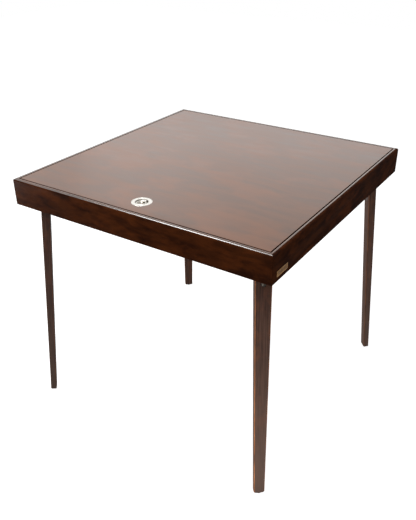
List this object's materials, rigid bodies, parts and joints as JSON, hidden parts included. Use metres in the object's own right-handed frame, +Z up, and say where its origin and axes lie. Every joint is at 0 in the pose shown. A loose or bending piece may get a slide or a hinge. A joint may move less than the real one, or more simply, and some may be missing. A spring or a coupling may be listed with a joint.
{
  "type": "folding puzzle table",
  "caption": "Square puzzle table with a lift-off cover over a felt-lined well and tapered, splayed wooden legs that fold up inside its rails.",
  "frame": {"origin": "on the floor under the middle of the table's bounding box", "axes": "+Z up; +X to the right along the front edge, which the ring pull lies near; +Y towards the back"},
  "size_m": [0.8182, 0.8182, 0.75],
  "materials": {
    "stained_wood": "semi-gloss lacquer over dark walnut stain",
    "leg_wood": "satin lacquer over brown stain",
    "plywood": "unfinished birch",
    "felt": "dark green wool felt",
    "bronzed_steel": "bronze-brown baked paint",
    "zinc_steel": "bright zinc plate",
    "nickel": "nickel plate",
    "polished_chrome": "polished chrome plate",
    "fibre": "vulcanised fibre",
    "aged_brass": "aged satin brass"
  },
  "bodies": {
    "table_frame": {"rail_front": "stained_wood", "rail_right": "stained_wood", "rail_back": "stained_wood", "rail_left": "stained_wood", "mitre_biscuits": "plywood", "corner_block_front_right": "plywood", "corner_block_back_right": "plywood", "corner_block_back_left": "plywood", "corner_block_front_left": "plywood", "cleat_front": "plywood", "cleat_right": "plywood", "cleat_back": "plywood", "cleat_left": "plywood", "cleat_screws": "bronzed_steel", "play_board": "plywood", "play_felt": "felt", "rim_felt_strips": "felt", "leg_rest_front_right": "plywood", "leg_rest_back_right": "plywood", "leg_rest_back_left": "plywood", "leg_rest_front_left": "plywood", "bracket_front_right": "bronzed_steel", "bracket_back_right": "bronzed_steel", "bracket_back_left": "bronzed_steel", "bracket_front_left": "bronzed_steel", "bracket_screws": "zinc_steel", "pivot_bolts": "zinc_steel", "pivot_nuts": "zinc_steel", "friction_washers": "fibre", "name_plate": "aged_brass", "plate_pins": "aged_brass"},
    "leg_front_right_body": {"leg_front_right": "leg_wood", "leg_hinge_front_right": "bronzed_steel", "leg_bolt_front_right": "nickel", "sleeve_nut_front_right": "zinc_steel", "strap_screw_front_right": "bronzed_steel", "glide_front_right": "nickel"},
    "leg_back_right_body": {"leg_back_right": "leg_wood", "leg_hinge_back_right": "bronzed_steel", "leg_bolt_back_right": "nickel", "sleeve_nut_back_right": "zinc_steel", "strap_screw_back_right": "bronzed_steel", "glide_back_right": "nickel"},
    "leg_back_left_body": {"leg_back_left": "leg_wood", "leg_hinge_back_left": "bronzed_steel", "leg_bolt_back_left": "nickel", "sleeve_nut_back_left": "zinc_steel", "strap_screw_back_left": "bronzed_steel", "glide_back_left": "nickel"},
    "leg_front_left_body": {"leg_front_left": "leg_wood", "leg_hinge_front_left": "bronzed_steel", "leg_bolt_front_left": "nickel", "sleeve_nut_front_left": "zinc_steel", "strap_screw_front_left": "bronzed_steel", "glide_front_left": "nickel"},
    "cover_body": {"cover": "stained_wood", "pull_plate": "polished_chrome", "pull_screws": "polished_chrome", "pull_pin": "polished_chrome"},
    "ring_body": {"pull_ring": "polished_chrome"}
  },
  "joints": [
    {"name": "fold_front_right", "type": "hinge", "parent": "table_frame", "child": "leg_front_right_body", "pos_m": [0.3504, -0.34598, 0.711], "axis": [0.7547, 0.6561, 0], "range_deg": [0, 95.1]},
    {"name": "fold_back_right", "type": "hinge", "parent": "table_frame", "child": "leg_back_right_body", "pos_m": [0.34749, 0.35172, 0.6885], "axis": [-0.6561, 0.7547, 0], "range_deg": [0, 95.1]},
    {"name": "fold_back_left", "type": "hinge", "parent": "table_frame", "child": "leg_back_left_body", "pos_m": [-0.3504, 0.34598, 0.711], "axis": [-0.7547, -0.6561, 0], "range_deg": [0, 95.1]},
    {"name": "fold_front_left", "type": "hinge", "parent": "table_frame", "child": "leg_front_left_body", "pos_m": [-0.34749, -0.35172, 0.6885], "axis": [0.6561, -0.7547, 0], "range_deg": [0, 95.1]},
    {"name": "cover_lift", "type": "slide", "parent": "table_frame", "child": "cover_body", "axis": [0, 0, 1], "range_m": [0, 0.06]},
    {"name": "ring_lift", "type": "hinge", "parent": "cover_body", "child": "ring_body", "pos_m": [-0.009, -0.3223, 0.7476], "axis": [-1, 0, 0], "range_deg": [0, 90]}
  ]
}
